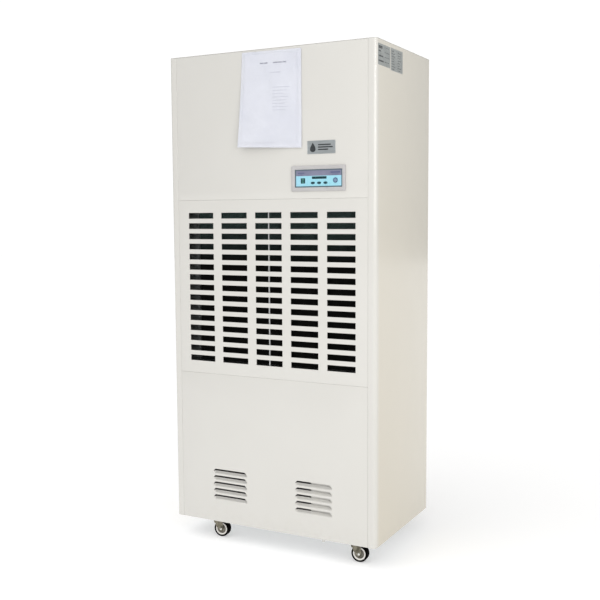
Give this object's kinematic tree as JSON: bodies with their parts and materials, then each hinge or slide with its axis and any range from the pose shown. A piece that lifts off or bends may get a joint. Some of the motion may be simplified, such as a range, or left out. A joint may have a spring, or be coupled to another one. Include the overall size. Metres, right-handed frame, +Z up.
{
  "type": "cabinet dehumidifier",
  "caption": "Tall off-white refrigerant dehumidifier cabinet on swivel casters, with slotted intake panel, membrane control panel and top air outlet.",
  "frame": {"origin": "on the floor, under the centre of the cabinet's footprint", "axes": "+Z up, -Y out of the front panel, +X to the right for a person facing the front"},
  "size_m": [0.77, 0.5227, 1.679],
  "materials": {
    "cabinet_paint": "smooth off-white powder coat, satin",
    "galvanised_sheet": "galvanised sheet steel with faint spangle",
    "coil_fins": "close-set coated fins",
    "copper_pipe": "drawn copper, slightly dulled",
    "black_enamel": "black enamel, satin",
    "machined_steel": "ground steel",
    "zinc_steel": "bright zinc plating",
    "caster_rubber": "matte black tread",
    "grommet_rubber": "matte",
    "hose": "matte grey hose",
    "light_plastic": "fine moulded texture",
    "black_plastic": "moulded, matte",
    "filter_aluminium": "mill finish",
    "filter_cloth": "dark woven nylon",
    "control_film": "printed polyester film",
    "key_plastic": "gloss",
    "display_lens": "dark tinted window",
    "circuit_board": "green solder mask",
    "badge_metal": "silver nameplate",
    "clear_sleeve": "clear sleeve over printed paper"
  },
  "bodies": {
    "cabinet": {"left_side_panel": "cabinet_paint", "right_side_panel": "cabinet_paint", "rear_panel": "cabinet_paint", "top_cover": "cabinet_paint", "upper_front_panel": "cabinet_paint", "lower_front_panel": "cabinet_paint", "electrical_box": "cabinet_paint", "electrical_box_lid": "cabinet_paint", "base_pan": "galvanised_sheet", "mid_shelf": "galvanised_sheet", "fan_deck": "galvanised_sheet", "drain_pan": "galvanised_sheet", "scroll_housing": "galvanised_sheet", "motor_bracket": "galvanised_sheet", "evaporator": "coil_fins", "condenser": "coil_fins", "suction_pipe": "copper_pipe", "discharge_pipe": "copper_pipe", "liquid_line": "copper_pipe", "capillary_tube": "copper_pipe", "filter_drier": "copper_pipe", "compressor": "black_enamel", "fan_motor": "black_enamel", "caster_plate_front_left": "zinc_steel", "caster_plate_front_right": "zinc_steel", "caster_plate_rear_left": "zinc_steel", "caster_plate_rear_right": "zinc_steel", "compressor_grommet_1": "grommet_rubber", "compressor_grommet_2": "grommet_rubber", "compressor_grommet_3": "grommet_rubber", "drain_hose": "hose", "control_bezel": "light_plastic", "outlet_grille": "light_plastic", "drain_spout": "light_plastic", "terminal_block": "light_plastic", "cable_gland": "black_plastic", "contactor": "black_plastic", "run_capacitor": "filter_aluminium", "control_overlay": "control_film", "display_window": "display_lens", "control_board": "circuit_board", "badge_plate": "badge_metal", "document_pouch": "clear_sleeve"},
    "caster_swivel_front_left": {"caster_fork_front_left": "zinc_steel"},
    "caster_roller_front_left": {"caster_wheel_front_left": "caster_rubber"},
    "caster_swivel_front_right": {"caster_fork_front_right": "zinc_steel"},
    "caster_roller_front_right": {"caster_wheel_front_right": "caster_rubber"},
    "caster_swivel_rear_left": {"caster_fork_rear_left": "zinc_steel"},
    "caster_roller_rear_left": {"caster_wheel_rear_left": "caster_rubber"},
    "caster_swivel_rear_right": {"caster_fork_rear_right": "zinc_steel"},
    "caster_roller_rear_right": {"caster_wheel_rear_right": "caster_rubber"},
    "intake_panel": {"intake_grille_panel": "cabinet_paint", "filter_frame": "filter_aluminium", "filter_mesh": "filter_cloth"},
    "fan_rotor": {"impeller": "galvanised_sheet", "fan_shaft": "machined_steel"},
    "mode_button": {"mode_key": "key_plastic"},
    "down_button": {"down_key": "key_plastic"},
    "up_button": {"up_key": "key_plastic"},
    "power_button": {"power_key": "key_plastic"}
  },
  "joints": [
    {"name": "swivel_front_left", "type": "hinge", "parent": "cabinet", "child": "caster_swivel_front_left", "pos_m": [-0.265, -0.18, 0.0603], "axis": [0, 0, 1], "continuous": true},
    {"name": "roll_front_left", "type": "hinge", "parent": "caster_swivel_front_left", "child": "caster_roller_front_left", "pos_m": [-0.23113, -0.17704, 0.02836], "axis": [-0.0872, 0.9962, 0], "continuous": true},
    {"name": "swivel_front_right", "type": "hinge", "parent": "cabinet", "child": "caster_swivel_front_right", "pos_m": [0.272, -0.18, 0.0603], "axis": [0, 0, 1], "continuous": true},
    {"name": "roll_front_right", "type": "hinge", "parent": "caster_swivel_front_right", "child": "caster_roller_front_right", "pos_m": [0.30592, -0.17763, 0.02836], "axis": [-0.0698, 0.9976, 0], "continuous": true},
    {"name": "swivel_rear_left", "type": "hinge", "parent": "cabinet", "child": "caster_swivel_rear_left", "pos_m": [-0.265, 0.18, 0.0603], "axis": [0, 0, 1], "continuous": true},
    {"name": "roll_rear_left", "type": "hinge", "parent": "caster_swivel_rear_left", "child": "caster_roller_rear_left", "pos_m": [-0.23285, 0.19107, 0.02836], "axis": [-0.3256, 0.9455, 0], "continuous": true},
    {"name": "swivel_rear_right", "type": "hinge", "parent": "cabinet", "child": "caster_swivel_rear_right", "pos_m": [0.272, 0.18, 0.0603], "axis": [0, 0, 1], "continuous": true},
    {"name": "roll_rear_right", "type": "hinge", "parent": "caster_swivel_rear_right", "child": "caster_roller_rear_right", "pos_m": [0.23916, 0.1888, 0.02836], "axis": [-0.2588, -0.9659, 0], "continuous": true},
    {"name": "intake_panel_pull", "type": "slide", "parent": "cabinet", "child": "intake_panel", "axis": [0, -1, 0], "range_m": [0, 0.15]},
    {"name": "fan_spin", "type": "hinge", "parent": "cabinet", "child": "fan_rotor", "pos_m": [0, -0.01, 1.379], "axis": [1, 0, 0], "continuous": true},
    {"name": "mode_press", "type": "slide", "parent": "cabinet", "child": "mode_button", "axis": [0, 1, 0], "range_m": [0, 0.001], "stiffness_N_per_m": 900},
    {"name": "down_press", "type": "slide", "parent": "cabinet", "child": "down_button", "axis": [0, 1, 0], "range_m": [0, 0.001], "stiffness_N_per_m": 900},
    {"name": "up_press", "type": "slide", "parent": "cabinet", "child": "up_button", "axis": [0, 1, 0], "range_m": [0, 0.001], "stiffness_N_per_m": 900},
    {"name": "power_press", "type": "slide", "parent": "cabinet", "child": "power_button", "axis": [0, 1, 0], "range_m": [0, 0.001], "stiffness_N_per_m": 900}
  ]
}
